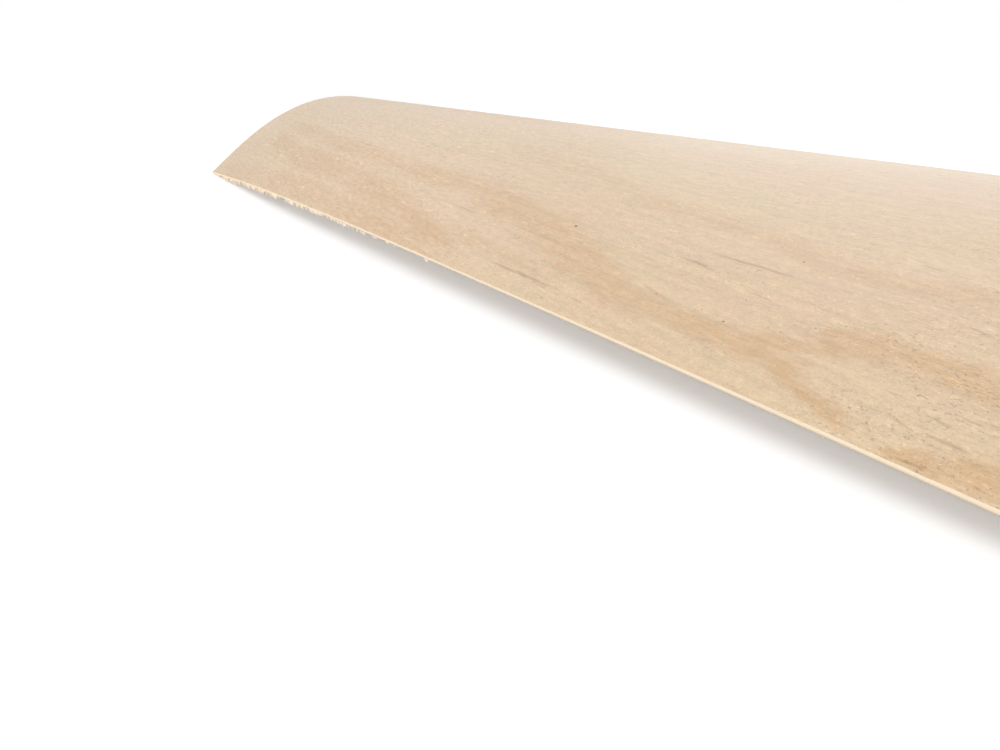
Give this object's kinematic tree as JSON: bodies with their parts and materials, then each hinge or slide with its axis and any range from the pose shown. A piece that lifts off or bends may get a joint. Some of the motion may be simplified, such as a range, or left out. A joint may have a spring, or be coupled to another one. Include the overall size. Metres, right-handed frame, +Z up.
{
  "type": "flexible plywood sheet",
  "caption": "Thin birch plywood sheet sprung into an arch, tighter at one end and more open at the other, that stands on its corners.",
  "frame": {"origin": "middle of the sheet's box, on the floor that its four corners stand on", "axes": "+X along the sheet and its face grain, from its tighter end to its open end, +Y across it, +Z up"},
  "size_m": [0.9008, 0.2946, 0.0665],
  "materials": {
    "birch_veneer": "bare sanded birch veneer, pale and matt"
  },
  "bodies": {
    "root": {"plywood_sheet": "birch_veneer"}
  },
  "joints": []
}
